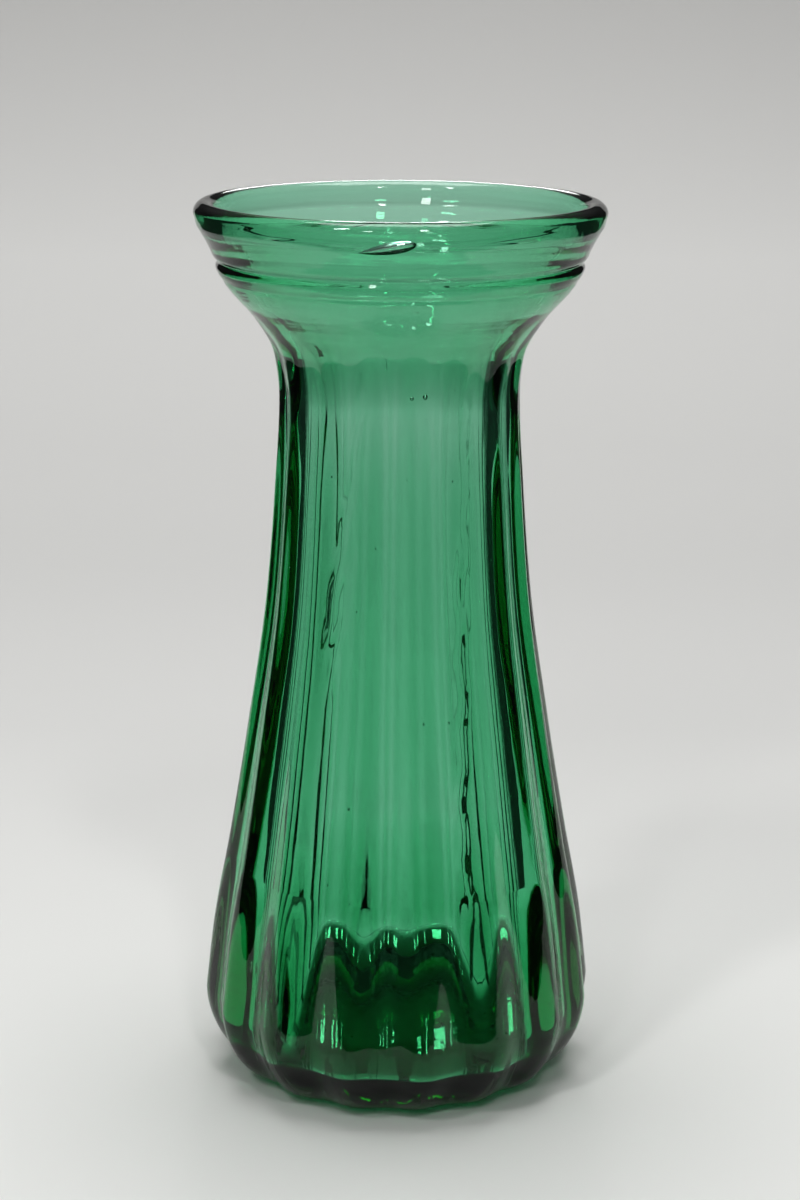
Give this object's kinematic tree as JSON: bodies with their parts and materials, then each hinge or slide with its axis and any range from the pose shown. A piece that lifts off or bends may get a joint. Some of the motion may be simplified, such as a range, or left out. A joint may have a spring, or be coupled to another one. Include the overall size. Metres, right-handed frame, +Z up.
{
  "type": "glass bulb vase",
  "caption": "Mould-blown green glass bulb vase: a ribbed body with a wide belly rises to a narrow throat, then flares into an open cup with a creased shoulder and a thick rounded lip.",
  "frame": {"origin": "on the table, under the middle of the foot", "axes": "+Z up along the axis of the vessel; one rib lies on +X and one on -Y"},
  "size_m": [0.0928, 0.0928, 0.205],
  "materials": {
    "glass": "clear emerald green glass, fire polished, with fine drawn streaks and a few trapped bubbles"
  },
  "bodies": {
    "root": {"base": "glass", "ribbed_body": "glass", "neck": "glass", "bulb_cup": "glass", "rim": "glass"}
  },
  "joints": []
}
